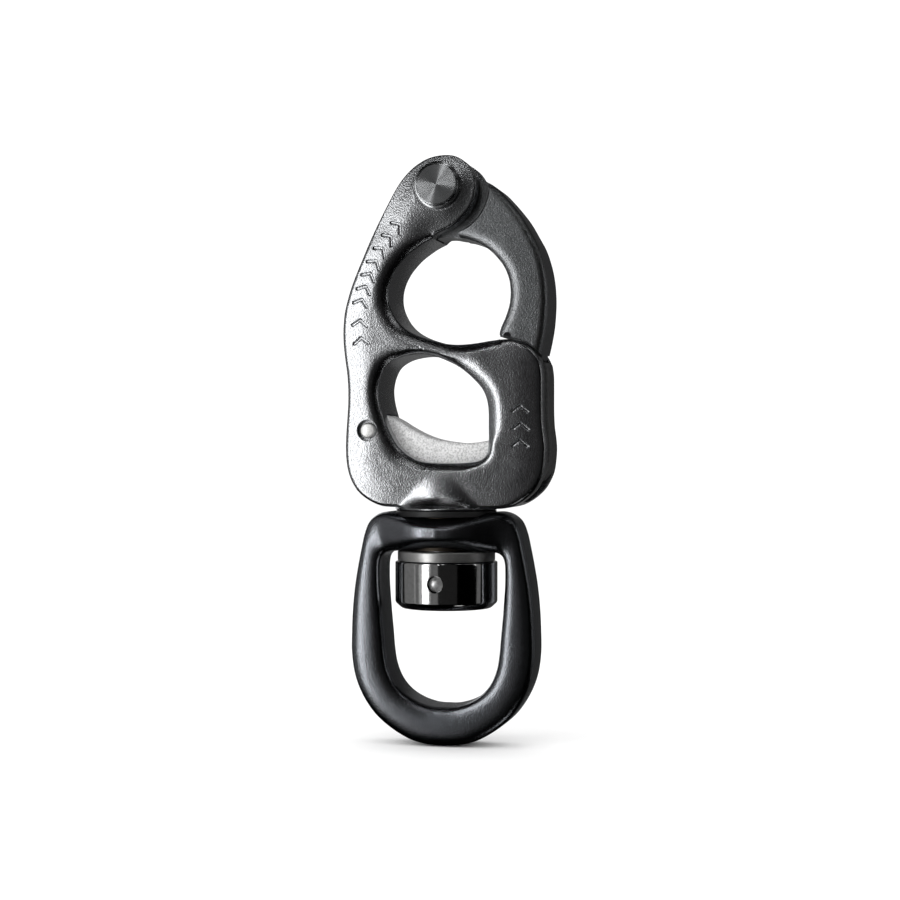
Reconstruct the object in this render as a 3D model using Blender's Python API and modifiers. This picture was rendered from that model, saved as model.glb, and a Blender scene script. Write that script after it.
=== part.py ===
"""Trigger snap shackle with a swivel bail, at rest: jaw shut, trigger latched, bail in line with the jaw.

The origin is on the swivel axis, where a ring bears against the top of the jaw's eye. +X is the side that the
jaw arm closes on, +Y the back, +Z up. Outlines are (X, Z) pairs in millimetres, seen from the front.
"""

import math

import bmesh
import bpy
from mathutils import Matrix, Vector

MM = 0.001

# Body, arm and trigger: half thicknesses
BODY_HALF = 6.5
ARM_HALF = 5.2
SLOT_HALF = 3.0
TONGUE_HALF = 2.75
EDGE = 1.2

# Jaw pivot
PIVOT = (0.0, 8.8)
ROOT_RADIUS = 5.0
ROOT_SLOT_RADIUS = 5.3
RELIEF_RADIUS = 8.4
PIVOT_PIN_RADIUS = 2.1
PIVOT_HOLE_RADIUS = 2.2
HEAD_RADIUS = 3.5
SPOT_FACE_RADIUS = 4.3
SPOT_FACE_DEPTH = 0.3
ARM_OPEN_END_DEG = 150

# Trigger
TRIGGER_PIN = (-12.3, -32.1)
TRIGGER_SWING_DEG = 6.0
TRIGGER_ROOT_RADIUS = 2.6
TRIGGER_SLOT_RADIUS = 2.95
TRIGGER_PIN_RADIUS = 1.25
TRIGGER_HOLE_RADIUS = 1.35
COUNTERSINK_RADIUS = 1.75
SPRING_RADIUS = 1.8
SPRING_WIRE_RADIUS = 0.25
SPRING_STEP_Y = 0.75

# Swivel, from the top down
BOSS_FOOT_Z = -45.5
BOSS_RADIUS = 8.7
SHANK_RADIUS = 4.5
SHANK_END_Z = -61.7
WASHER_TOP_Z = -45.6
WASHER_FOOT_Z = -46.6
HUB_TOP_Z = -46.7
HUB_FOOT_Z = -52.4
BUSH_OUTER_RADIUS = 6.1
BUSH_INNER_RADIUS = 4.7
RACE_INNER_RADIUS = 4.8
RING_RADIUS = 8.3
RING_TOP_Z = -52.5
RING_FOOT_Z = -54.15
BALL_COUNT = 12
BALL_RADIUS = 0.95
BALL_PITCH_RADIUS = 6.4
BALL_Z = -54.4
GROOVE_RADIUS = 1.05
NUT_RADIUS = 8.7
NUT_TOP_Z = -54.3
NUT_FOOT_Z = -62.2
NUT_CHAMFER = 1.1
LOCK_PIN_Z = -57.7
LOCK_PIN_RADIUS = 1.2
LOCK_HOLE_RADIUS = 1.32

# Bail
BAIL_HALF = 4.5
BAIL_EDGE = 1.4
BORE_RADIUS = 6.2

BODY_BASE = [
    (1.1, 13.9), (-0.6, 13.75), (-2.15, 13.3), (-3.7, 12.45), (-4.8, 11.6), (-5.8, 10.6), (-6.7, 9.5),
    (-7.6, 8.1), (-8.55, 6.45), (-9.7, 4.4), (-10.85, 2.2), (-12.2, -0.6), (-13.25, -3.0), (-14.25, -5.3),
    (-15.2, -7.7), (-15.95, -10.1), (-16.45, -12.2), (-16.65, -14.2), (-16.7, -16.0), (-16.6, -18.0),
    (-16.3, -20.5), (-16.0, -22.7), (-15.85, -25.0), (-15.85, -27.5), (-16.0, -30.0), (-16.2, -33.0),
    (-16.25, -35.3), (-16.1, -37.6), (-15.7, -39.5), (-15.0, -41.1), (-14.2, -42.3), (-13.1, -43.3),
    (-11.8, -44.1), (-10.4, -44.7), (-9.0, -44.95), (-4.5, -45.1), (0.0, -45.15), (4.5, -45.15),
    (9.0, -45.2), (10.8, -45.15), (12.3, -44.85), (13.7, -44.2), (15.1, -43.2), (16.3, -42.0),
    (17.2, -40.5), (17.8, -39.0), (18.1, -37.0), (18.2, -35.0), (18.05, -33.2), (17.8, -31.2),
    (17.7, -28.5), (17.7, -25.0), (17.65, -22.6), (17.35, -21.0), (16.75, -19.7), (15.8, -18.6),
    (14.7, -17.8), (13.5, -17.3), (12.3, -17.05), (11.2, -17.0), (10.2, -17.0), (9.0, -16.4), (3.0, -15.6),
    (-2.5, -13.5), (-5.0, -9.0), (-2.6, -3.2), (-1.3, -0.2), (-0.4, 0.75), (1.3, 1.5), (2.8, 2.3),
    (4.4, 3.75), (5.4, 5.1), (6.1, 6.9), (6.35, 8.8), (6.05, 10.4), (5.2, 11.9), (4.05, 13.0), (2.65, 13.7),
]
WINDOW = [
    (-3.0, -19.3), (-5.3, -19.45), (-7.4, -20.0), (-9.1, -21.1), (-10.0, -22.6), (-10.5, -24.6),
    (-10.45, -26.5), (-10.0, -28.6), (-9.2, -31.0), (-8.2, -33.1), (-7.0, -34.9), (-5.5, -36.2),
    (-3.8, -37.1), (-1.8, -37.5), (1.5, -37.6), (4.8, -37.5), (6.9, -37.1), (8.0, -36.2), (8.35, -34.8),
    (8.4, -31.5), (8.35, -28.5), (7.9, -26.4), (7.0, -24.8), (5.2, -22.95), (3.4, -21.55), (1.6, -20.6),
    (-0.6, -19.75),
]
EYE = [
    (2.6, 0.25), (1.2, 0.5), (-0.3, 0.4), (-1.5, -0.1), (-2.8, -0.75), (-4.1, -1.6), (-5.3, -2.5),
    (-6.4, -3.6), (-7.4, -4.85), (-8.2, -6.3), (-8.7, -7.8), (-8.85, -9.4), (-8.65, -10.9),
    (-8.05, -12.4), (-7.2, -13.75), (-6.05, -14.9), (-4.7, -15.75), (-3.2, -16.4), (-1.6, -16.9),
    (-0.2, -17.3), (1.3, -17.65), (3.0, -17.8), (4.7, -17.75), (6.6, -17.55), (8.5, -17.25),
    (10.35, -16.95), (10.05, -16.2), (10.3, -15.0), (11.0, -13.45), (11.45, -12.2), (11.75, -11.1),
    (11.9, -9.8), (11.9, -8.6), (11.65, -6.9), (10.95, -5.1), (9.95, -3.65), (8.4, -2.05), (6.55, -0.9),
    (4.5, -0.1),
]
ARM_BASE = [
    (1.3, 13.4), (4.0, 11.65), (6.6, 10.2), (8.3, 9.2), (9.75, 8.2), (11.2, 6.7), (12.7, 4.95),
    (14.15, 3.0), (15.5, 0.65), (16.65, -1.5), (17.5, -4.0), (18.0, -6.3), (18.25, -8.6), (18.3, -11.2),
    (18.05, -14.6), (17.5, -17.7), (16.85, -20.35),
]
ARM_TOE = [
    (16.1, -21.2), (16.1, -22.6), (15.6, -23.2), (12.5, -23.2), (11.8, -22.5), (11.8, -16.6), (8.5, -16.45),
    (8.2, -12.0), (8.2, -9.0), (7.0, -5.5), (4.0, -3.2), (1.5, -2.4), (-0.9, -2.4), (-0.9, 4.0),
]
CHEEK_TOP = [
    (5.0, -16.3), (9.0, -16.5), (10.75, -16.55), (12.3, -16.7), (13.6, -16.92), (14.9, -17.42),
    (16.08, -18.3), (17.1, -19.5), (17.75, -20.95), (18.05, -22.6), (18.05, -26.0), (5.0, -26.0),
]
THROAT = [(-2.0, -4.0), (3.3, -4.0), (3.3, 3.0), (-2.0, 3.0)]
BEAK_NOTCH = (11.5, -16.5)
BEAK_NOTCH_RADIUS = 0.7
LEVER_TOP = [
    (-10.6, -29.4), (-9.2, -29.7), (-7.6, -30.5), (-6.0, -31.5), (-4.2, -32.45), (-2.4, -33.2),
    (-0.6, -33.7), (1.2, -34.0), (3.0, -34.2), (4.8, -34.2), (6.6, -34.0), (8.5, -33.6), (10.3, -32.7),
    (11.7, -31.4), (12.4, -29.4), (12.6, -27.0), (12.6, -23.6),
]
LEVER_OUTER = [
    (16.55, -23.6), (16.6, -20.9), (17.5, -20.75), (17.95, -21.3), (18.1, -23.0), (18.15, -26.0),
    (18.15, -29.5), (18.3, -32.0), (18.55, -33.8), (18.6, -35.4), (18.4, -37.2), (17.9, -38.9),
    (16.9, -40.3), (15.5, -41.0),
]
LEVER_FOOT = [
    (13.5, -41.0), (10.0, -40.3), (6.0, -39.4), (0.0, -38.3), (-5.0, -37.1), (-9.0, -35.8), (-11.5, -34.75),
]
BAIL_OUTER = [
    (8.6, -45.8), (10.2, -45.9), (11.5, -46.4), (12.45, -47.2), (13.15, -48.3), (13.65, -49.6),
    (14.0, -51.1), (14.4, -53.1), (14.8, -55.1), (15.2, -57.4), (15.55, -60.0), (15.85, -64.0), (15.95, -67.5), (15.9, -70.3),
    (15.55, -72.8), (14.8, -75.3), (13.65, -77.6), (12.05, -79.8), (9.9, -81.9), (7.5, -83.5),
    (5.05, -84.6), (2.55, -85.2),
]
BAIL_INNER = [
    (9.0, -52.6), (10.0, -53.0), (10.6, -53.9), (10.75, -55.4), (10.75, -58.0), (10.6, -61.0),
    (10.3, -64.0), (9.95, -67.0), (9.75, -69.2), (9.5, -71.2), (9.0, -73.1), (8.1, -74.8), (6.8, -76.3),
    (5.1, -77.45), (3.4, -78.2),
]
BAIL_FOOT_Z = -85.35
BOW_FLAT = [(2.2, -78.7), (0.9, -78.7), (-0.9, -78.7), (-2.2, -78.7)]
CROSS_BAR_HALVES = [(0.0, 8.4), (3.0, 8.05), (5.5, 7.3), (8.0, 6.3), (10.2, 5.3), (12.4, 4.6)]


def new_collection(name):
    collection = bpy.data.collections.new(name)
    bpy.context.scene.collection.children.link(collection)
    return collection


def clear_scene():
    for obj in list(bpy.data.objects):
        bpy.data.objects.remove(obj)


def material(name, colour, roughness, metallic):
    made = bpy.data.materials.new(name)
    made.use_nodes = True
    shader = made.node_tree.nodes["Principled BSDF"]
    shader.inputs["Base Color"].default_value = (*colour, 1)
    shader.inputs["Roughness"].default_value = roughness
    shader.inputs["Metallic"].default_value = metallic
    made.diffuse_color = (*colour, 1)
    return made


def finish_mesh(name, bm, collection, smooth=False):
    """The object that holds this mesh, with its faces turned outwards."""
    bmesh.ops.recalc_face_normals(bm, faces=bm.faces)
    mesh = bpy.data.meshes.new(name)
    bm.to_mesh(mesh)
    bm.free()
    mesh.polygons.foreach_set("use_smooth", [smooth] * len(mesh.polygons))
    obj = bpy.data.objects.new(name, mesh)
    collection.objects.link(obj)
    return obj


def turn(point, centre, degrees):
    """The point turned clockwise, as seen from the front, about the centre."""
    c, s = math.cos(math.radians(degrees)), math.sin(math.radians(degrees))
    dx, dz = point[0] - centre[0], point[1] - centre[1]
    return centre[0] + dx * c + dz * s, centre[1] - dx * s + dz * c


def arc(centre, radius, start, end, steps):
    """Points from start to end degrees, anticlockwise from +X when end is larger."""
    angles = [math.radians(start + (end - start) * i / steps) for i in range(steps + 1)]
    return [(centre[0] + radius * math.cos(a), centre[1] + radius * math.sin(a)) for a in angles]


def rounded(points, steps=2):
    """A closed curve through the points."""
    count = len(points)
    curve = []
    for i in range(count):
        p = [Vector(points[(i + k) % count]) for k in (-1, 0, 1, 2)]
        for j in range(steps):
            t = j / steps
            spot = 0.5 * (
                2 * p[1] + (p[2] - p[0]) * t + (2 * p[0] - 5 * p[1] + 4 * p[2] - p[3]) * t**2
                + (3 * p[1] - p[0] - 3 * p[2] + p[3]) * t**3
            )
            curve.append((spot.x, spot.y))
    return curve


def area(points):
    return sum(a[0] * b[1] - b[0] * a[1] for a, b in zip(points, points[1:] + points[:1])) / 2


def grown(points, by):
    """The closed outline moved outwards by this much."""
    side = math.copysign(1, area(points))
    moved = []
    for before, here, after in zip(points[-1:] + points[:-1], points, points[1:] + points[:1]):
        along = Vector(after) - Vector(before)
        out = Vector((along.y, -along.x)).normalized() * side * by
        moved.append((here[0] + out.x, here[1] + out.y))
    return moved


def loft(name, layers, collection, smooth=False):
    """A solid through outlines with as many points each, given as (depth along +Y, outline)."""
    bm = bmesh.new()
    rings = [[bm.verts.new((x * MM, y * MM, z * MM)) for x, z in outline] for y, outline in layers]
    for near, far in zip(rings, rings[1:]):
        for i in range(len(near)):
            j = (i + 1) % len(near)
            bm.faces.new((near[i], near[j], far[j], far[i]))
    bm.faces.new(rings[0])
    bm.faces.new(rings[-1])
    return finish_mesh(name, bm, collection, smooth)


def plate(name, outline, low, high, collection):
    return loft(name, [(low, outline), (high, outline)], collection)


def flared(name, outline, width, depth, half, collection):
    """A cutter whose walls curve outwards by width over the last depth before each face of a plate."""
    spread = [(-1.0, 1.25), (0.0, 1.0), (0.22, 0.6), (0.5, 0.26), (0.8, 0.06), (1.0, 0.0)]
    front = [(-half + depth * down, grown(outline, width * out)) for down, out in spread]
    back = [(-y, layer) for y, layer in reversed(front)]
    return loft(name, front + back, collection)


def turned(name, profile, steps, collection, centre=(0.0, 0.0, 0.0), along_y=False):
    """A turned piece from (radius, height) pairs that run down its outer side, closed if it clears the axis."""
    mesh = bpy.data.meshes.new(name)
    points = [(r * MM, 0, z * MM) for r, z in profile]
    closed = min(r for r, _ in profile) > 0
    edges = [(i, i + 1) for i in range(len(points) - 1)] + ([(len(points) - 1, 0)] if closed else [])
    mesh.from_pydata(points, edges, [])
    obj = bpy.data.objects.new(name, mesh)
    collection.objects.link(obj)
    obj.location = [c * MM for c in centre]
    if along_y:
        obj.rotation_euler = (math.radians(90), 0, 0)
    screw = obj.modifiers.new("Turn", "SCREW")
    screw.steps = screw.render_steps = steps
    screw.use_merge_vertices = True
    screw.merge_threshold = 1e-6
    screw.use_smooth_shade = True
    return obj


def rod(name, centre, radius, low, high, collection, steps=32, along_y=True):
    """A plain cylinder along Y at (X, Z), or along Z at (X, Y)."""
    profile = [(0, high), (radius, high), (radius, low), (0, low)]
    if along_y:
        profile = [(0, -low), (radius, -low), (radius, -high), (0, -high)]
        return turned(name, profile, steps, collection, (centre[0], 0, centre[1]), True)
    return turned(name, profile, steps, collection, (centre[0], centre[1], 0))


def combine(obj, other, operation="DIFFERENCE"):
    """Cuts or joins the other object, which is then only a helper."""
    step = obj.modifiers.new(other.name, "BOOLEAN")
    step.operation = operation
    step.object = other
    step.solver = "EXACT"
    other.hide_render = True
    other.display_type = "WIRE"


def edge(obj, width, segments=2):
    """Rounds the sharp rims."""
    step = obj.modifiers.new("Edge", "BEVEL")
    step.width = width * MM
    step.segments = segments
    step.limit_method = "ANGLE"
    step.angle_limit = math.radians(50)
    return obj


def move_origin(obj, x, y, z):
    """Puts the object's origin on its joint axis and leaves its shape where it is."""
    obj.data.transform(Matrix.Translation((-x * MM, -y * MM, -z * MM)))
    obj.location = (x * MM, y * MM, z * MM)


def root_slot():
    """Room for the arm's root tongue, from the eye round to the stop at the jaw's fully open position."""
    start = -math.degrees(math.acos(-1.2 / ROOT_SLOT_RADIUS))
    back = arc(PIVOT, ROOT_SLOT_RADIUS, start + 360, ARM_OPEN_END_DEG, 20)
    far = (PIVOT[0] - 12 * math.cos(math.radians(30)), PIVOT[1] + 12 * math.sin(math.radians(30)))
    return [(-1.2, -3.0), *back, far, (far[0], 20.0), (12.0, 20.0), (12.0, -3.0)]


def trigger_slot():
    """Room for the toe and for the trigger through its swing."""
    floor = [turn(p, TRIGGER_PIN, TRIGGER_SWING_DEG + 0.5) for p in [(15.5, -41.0), *LEVER_FOOT[:-1]]]
    floor = [(x, z - 0.2) for x, z in floor]
    root = arc(TRIGGER_PIN, TRIGGER_SLOT_RADIUS, 270, 110, 16)
    return [
        (11.3, -14.0), (24.0, -14.0), (24.0, floor[0][1]), *floor, *root,
        (-11.0, -28.9), (-9.2, -28.7), (-6.0, -28.5), (6.0, -31.0), (9.2, -31.4), (11.3, -30.3),
    ]


def build_body(parts, cutters):
    outline = rounded(BODY_BASE)
    body = edge(plate("body", outline, -BODY_HALF, BODY_HALF, parts), EDGE)
    boss = turned(
        "cut_boss",
        [
            (0, -39.0), (5.2, -40.2), (6.2, -42.0), (6.9, -43.4), (7.8, -44.5), (8.5, -45.0),
            (BOSS_RADIUS, BOSS_FOOT_Z + 0.25), (BOSS_RADIUS, BOSS_FOOT_Z), (SHANK_RADIUS, BOSS_FOOT_Z),
            (SHANK_RADIUS, SHANK_END_Z + 0.5), (SHANK_RADIUS - 0.5, SHANK_END_Z), (0, SHANK_END_Z),
        ],
        48,
        cutters,
    )
    combine(body, boss, "UNION")
    combine(body, flared("cut_eye", rounded(EYE), 2.3, 1.5, BODY_HALF, cutters))
    combine(body, flared("cut_window", rounded(WINDOW), 1.6, 1.3, BODY_HALF, cutters))
    combine(body, plate("cut_root_slot", root_slot(), -SLOT_HALF, SLOT_HALF, cutters))
    combine(body, plate("cut_trigger_slot", trigger_slot(), -SLOT_HALF, SLOT_HALF, cutters))
    combine(body, plate("cut_spring_notch", spring_notch(), SPRING_STEP_Y, SLOT_HALF, cutters))
    combine(body, rod("cut_pivot", PIVOT, PIVOT_HOLE_RADIUS, -8, 8, cutters))
    combine(body, rod("cut_trigger_pin", TRIGGER_PIN, TRIGGER_HOLE_RADIUS, -8, 8, cutters))
    for side in (-1, 1):
        low, high = sorted((side * (BODY_HALF - SPOT_FACE_DEPTH), side * 8.0))
        combine(body, rod(f"cut_spot_face_{side}", PIVOT, SPOT_FACE_RADIUS, low, high, cutters))
        low, high = sorted((side * (BODY_HALF - 0.5), side * 8.0))
        combine(body, rod(f"cut_countersink_{side}", TRIGGER_PIN, COUNTERSINK_RADIUS, low, high, cutters))
    combine(body, rod("cut_lock_hole", (0, LOCK_PIN_Z), LOCK_HOLE_RADIUS, -9, 9, cutters, 24))
    return body


def build_arm(parts, cutters):
    root = arc(PIVOT, ROOT_RADIUS, 260, 80, 20)
    outline = ARM_BASE[:1] + rounded(ARM_BASE)[2:-3] + ARM_BASE[-1:] + ARM_TOE[:-1] + root
    arm = edge(plate("arm", outline, -ARM_HALF, ARM_HALF, parts), 1.0)
    combine(arm, flared("cut_eye_arm", rounded(EYE), 1.1, 1.2, ARM_HALF, cutters))
    for side, name in ((-1, "front"), (1, "back")):
        low, high = sorted((side * TONGUE_HALF, side * 8.0))
        combine(arm, rod(f"cut_relief_{name}", PIVOT, RELIEF_RADIUS, low, high, cutters, 64))
        combine(arm, plate(f"cut_cheek_{name}", CHEEK_TOP, low, high, cutters))
        combine(arm, plate(f"cut_throat_{name}", THROAT, low, high, cutters))
    combine(arm, rod("cut_beak_notch", BEAK_NOTCH, BEAK_NOTCH_RADIUS, -8, 8, cutters, 20))
    combine(arm, rod("cut_arm_hole", PIVOT, PIVOT_HOLE_RADIUS + 0.02, -8, 8, cutters))
    move_origin(arm, PIVOT[0], 0, PIVOT[1])
    return arm


def spring_notch():
    """The blind groove in the limb that the spring's fixed leg sits in."""
    x = TRIGGER_PIN[0] - SPRING_RADIUS
    return [(x - 0.4, -32.1), (x - 0.4, -27.6), (x + 0.4, -27.6), (x + 0.4, -32.1)]


def build_trigger(parts, cutters):
    root = arc(TRIGGER_PIN, TRIGGER_ROOT_RADIUS, 270, 70, 16)
    outline = LEVER_TOP + LEVER_OUTER + LEVER_FOOT + root
    trigger = edge(plate("trigger", outline, -TONGUE_HALF, TONGUE_HALF, parts), 0.4, 2)
    combine(trigger, rod("cut_trigger_bore", TRIGGER_PIN, TRIGGER_HOLE_RADIUS, -4, 4, cutters))
    combine(trigger, rod("cut_spring_step", TRIGGER_PIN, 2.9, SPRING_STEP_Y, 4, cutters, 40))
    x, z = TRIGGER_PIN[0], TRIGGER_PIN[1] - SPRING_RADIUS
    groove = [(x, z - 0.35), (x + 8.0, z - 0.35), (x + 8.0, z + 0.35), (x, z + 0.35)]
    combine(trigger, plate("cut_spring_groove", groove, SPRING_STEP_Y, 4, cutters))
    move_origin(trigger, TRIGGER_PIN[0], 0, TRIGGER_PIN[1])
    return trigger


def build_trigger_spring(parts):
    """A torsion spring: one leg up in the limb, two and a quarter turns round the pin, one leg in the lever."""
    x0, z0 = TRIGGER_PIN
    low, high = SPRING_STEP_Y + 0.35, TONGUE_HALF - 0.35
    turns, steps = 2.25, 54
    path = [(x0 - SPRING_RADIUS, low, z0 + 4.2)]
    for i in range(steps + 1):
        angle = math.pi + turns * 2 * math.pi * i / steps
        y = low + (high - low) * i / steps
        path.append((x0 + SPRING_RADIUS * math.cos(angle), y, z0 + SPRING_RADIUS * math.sin(angle)))
    path.append((x0 + 7.6, high, z0 - SPRING_RADIUS))
    curve = bpy.data.curves.new("trigger_spring", "CURVE")
    curve.dimensions = "3D"
    curve.bevel_depth = SPRING_WIRE_RADIUS * MM
    curve.bevel_resolution = 1
    curve.use_fill_caps = True
    spline = curve.splines.new("POLY")
    spline.points.add(len(path) - 1)
    for point, (x, y, z) in zip(spline.points, path):
        point.co = (x * MM, y * MM, z * MM, 1)
    spring = bpy.data.objects.new("trigger_spring", curve)
    parts.objects.link(spring)
    return spring


def build_pins(parts):
    face = BODY_HALF - SPOT_FACE_DEPTH + 0.05
    pivot = turned(
        "arm_pivot_pin",
        [
            (0, 7.75), (HEAD_RADIUS - 0.25, 7.75), (HEAD_RADIUS, 7.5), (HEAD_RADIUS, 7.0), (3.95, 6.85),
            (3.95, face), (PIVOT_PIN_RADIUS, face), (PIVOT_PIN_RADIUS, -face), (3.0, -face), (3.0, -6.6),
            (2.5, -7.1), (1.5, -7.4), (0, -7.5),
        ],
        40,
        parts,
        (PIVOT[0], 0, PIVOT[1]),
        True,
    )
    end = BODY_HALF - 0.1
    trigger_pin = turned(
        "trigger_pin",
        [
            (0, end), (0.7, end - 0.03), (TRIGGER_PIN_RADIUS, end - 0.2), (TRIGGER_PIN_RADIUS, 0.2 - end),
            (0.7, 0.03 - end), (0, -end),
        ],
        32,
        parts,
        (TRIGGER_PIN[0], 0, TRIGGER_PIN[1]),
        True,
    )
    end = NUT_RADIUS - 0.1
    lock_pin = turned(
        "nut_lock_pin",
        [
            (0, end), (0.6, end - 0.03), (LOCK_PIN_RADIUS, end - 0.25), (LOCK_PIN_RADIUS, 0.25 - end),
            (0.6, 0.03 - end), (0, -end),
        ],
        24,
        parts,
        (0, 0, LOCK_PIN_Z),
        True,
    )
    return pivot, trigger_pin, lock_pin


def build_bail(parts, cutters):
    outer = [(0, BAIL_OUTER[0][1]), *BAIL_OUTER, (0, BAIL_FOOT_Z)]
    outer += [(-x, z) for x, z in reversed(BAIL_OUTER)]
    inner = [(0, BAIL_INNER[0][1]), *BAIL_INNER, *BOW_FLAT]
    inner += [(-x, z) for x, z in reversed(BAIL_INNER)]
    bail = edge(plate("bail", rounded(outer), -BAIL_HALF, BAIL_HALF, parts), BAIL_EDGE)
    front = [(x, -y) for x, y in CROSS_BAR_HALVES[::-1]] + [(-x, -y) for x, y in CROSS_BAR_HALVES[1:]]
    bar = plate("cut_cross_bar", rounded(front + [(x, -y) for x, y in reversed(front)]), 46.2, 52.5, cutters)
    bar.rotation_euler = (math.radians(-90), 0, 0)
    edge(bar, 1.0)
    combine(bail, flared("cut_bail_window", rounded(inner), 1.2, 1.4, BAIL_HALF, cutters))
    combine(bail, bar, "UNION")
    combine(bail, rod("cut_hub_top", (0, 0), 8.75, HUB_TOP_Z, -40, cutters, 48, False))
    combine(bail, rod("cut_hub_foot", (0, 0), 8.6, -60, HUB_FOOT_Z, cutters, 48, False))
    combine(bail, rod("cut_bore", (0, 0), BORE_RADIUS, -60, -40, cutters, 48, False))
    return bail


def ring(name, inner, outer, low, high, parts, steps=48):
    profile = [(inner, high), (outer, high), (outer, low), (inner, low)]
    return turned(name, profile, steps, parts)


def grooved(name, profile, cutters, parts):
    """A race: a turned ring with the ball groove cut round it."""
    race = turned(name, profile, 48, parts)
    centre = (BALL_PITCH_RADIUS, BALL_Z)
    section = arc(centre, GROOVE_RADIUS, 360, 30, 11)
    groove = turned("cut_groove_" + name, section, 48, cutters)
    combine(race, groove)
    return race


def build_bearing(parts, cutters):
    upper = grooved(
        "bearing_upper_race",
        [
            (RACE_INNER_RADIUS, RING_TOP_Z), (RING_RADIUS - 0.15, RING_TOP_Z), (RING_RADIUS, RING_TOP_Z - 0.15),
            (RING_RADIUS, RING_FOOT_Z), (7.85, RING_FOOT_Z), (7.85, -53.8), (RACE_INNER_RADIUS, -53.8),
        ],
        cutters,
        parts,
    )
    lower = grooved(
        "bearing_lower_race",
        [(RACE_INNER_RADIUS, -55.0), (7.85, -55.0), (7.85, -55.85), (RACE_INNER_RADIUS, -55.85)],
        cutters,
        parts,
    )
    cage = ring("bearing_cage", 5.05, 7.75, BALL_Z - 0.2, BALL_Z + 0.2, parts)
    balls = []
    for i in range(BALL_COUNT):
        angle = 2 * math.pi * i / BALL_COUNT
        x, y = BALL_PITCH_RADIUS * math.cos(angle), BALL_PITCH_RADIUS * math.sin(angle)
        pocket = rod(f"cut_pocket_{i + 1:02d}", (x, y), BALL_RADIUS + 0.1, -58, -50, cutters, 16, False)
        combine(cage, pocket)
        bm = bmesh.new()
        bmesh.ops.create_uvsphere(bm, u_segments=14, v_segments=8, radius=BALL_RADIUS * MM)
        ball = finish_mesh(f"bearing_ball_{i + 1:02d}", bm, parts, True)
        ball.location = (x * MM, y * MM, BALL_Z * MM)
        ball.parent = cage
        balls.append(ball)
    return [upper, lower], cage, balls


def build_nut(parts, cutters):
    nut = turned(
        "swivel_nut",
        [
            (8.0, NUT_TOP_Z), (NUT_RADIUS - 0.12, NUT_TOP_Z), (NUT_RADIUS, NUT_TOP_Z - 0.12),
            (NUT_RADIUS, NUT_FOOT_Z + NUT_CHAMFER), (NUT_RADIUS - NUT_CHAMFER, NUT_FOOT_Z),
            (SHANK_RADIUS + 0.5, NUT_FOOT_Z), (SHANK_RADIUS + 0.15, NUT_FOOT_Z + 0.35),
            (SHANK_RADIUS + 0.15, -55.95), (8.0, -55.95),
        ],
        56,
        parts,
    )
    combine(nut, rod("cut_nut_hole", (0, LOCK_PIN_Z), LOCK_HOLE_RADIUS, -9, 9, cutters, 24))
    return nut


def main():
    clear_scene()
    parts = new_collection("trigger_snap_shackle")
    cutters = new_collection("cutters")
    forged = material("forged_steel", (0.42, 0.42, 0.43), 0.32, 1)
    polished = material("polished_steel", (0.55, 0.55, 0.56), 0.18, 1)
    turned_steel = material("turned_steel", (0.5, 0.5, 0.51), 0.22, 1)
    spring_steel = material("spring_steel", (0.5, 0.5, 0.52), 0.3, 1)
    black = material("black_acetal", (0.02, 0.02, 0.02), 0.45, 0)
    bronze = material("bush_bronze", (0.42, 0.28, 0.13), 0.4, 1)
    pins = build_pins(parts)
    races, cage, balls = build_bearing(parts, cutters)
    coats = {
        forged: [build_body(parts, cutters), build_arm(parts, cutters), build_bail(parts, cutters)],
        polished: [build_nut(parts, cutters), *races, *balls],
        turned_steel: [build_trigger(parts, cutters), *pins],
        spring_steel: [build_trigger_spring(parts)],
        black: [ring("neck_washer", 4.8, 8.55, WASHER_FOOT_Z, WASHER_TOP_Z, parts), cage],
        bronze: [ring("bail_bush", BUSH_INNER_RADIUS, BUSH_OUTER_RADIUS, -52.35, -46.75, parts)],
    }
    for coat, objects in coats.items():
        for obj in objects:
            obj.data.materials.append(coat)


main()
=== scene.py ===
"""Looks of the trigger snap shackle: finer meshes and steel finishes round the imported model, and a stage.

Lengths in this file are millimetres until a mesh is made. Outlines are (X, Z) pairs seen from the front.
Profiles of turned pieces are (radius, height) pairs.
"""
import math

import bmesh
import bpy
import numpy as np
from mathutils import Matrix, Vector
from mathutils.geometry import delaunay_2d_cdt


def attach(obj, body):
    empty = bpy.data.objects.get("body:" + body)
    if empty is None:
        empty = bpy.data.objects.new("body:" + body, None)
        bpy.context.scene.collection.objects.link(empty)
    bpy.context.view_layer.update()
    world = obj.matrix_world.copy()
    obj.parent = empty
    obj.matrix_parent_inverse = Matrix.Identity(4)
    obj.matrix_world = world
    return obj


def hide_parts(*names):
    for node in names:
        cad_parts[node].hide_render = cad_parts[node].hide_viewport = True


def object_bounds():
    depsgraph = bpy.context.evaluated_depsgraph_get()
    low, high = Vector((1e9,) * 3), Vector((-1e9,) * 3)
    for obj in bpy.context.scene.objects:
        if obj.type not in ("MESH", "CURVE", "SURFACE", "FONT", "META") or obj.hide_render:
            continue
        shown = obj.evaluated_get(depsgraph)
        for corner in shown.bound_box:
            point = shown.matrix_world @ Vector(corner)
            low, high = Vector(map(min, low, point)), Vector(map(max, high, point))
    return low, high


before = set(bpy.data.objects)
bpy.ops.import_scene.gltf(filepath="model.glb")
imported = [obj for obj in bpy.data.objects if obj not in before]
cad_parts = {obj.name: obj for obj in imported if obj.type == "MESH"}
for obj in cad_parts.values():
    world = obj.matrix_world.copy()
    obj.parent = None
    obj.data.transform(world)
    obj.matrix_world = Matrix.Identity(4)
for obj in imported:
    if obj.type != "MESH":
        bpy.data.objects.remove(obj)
CAD_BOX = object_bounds()

MM = 0.001

# Plate thicknesses, halved
BODY_HALF = 6.5
ARM_HALF = 5.2
SLOT_HALF = 3.0
TONGUE_HALF = 2.75

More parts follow.
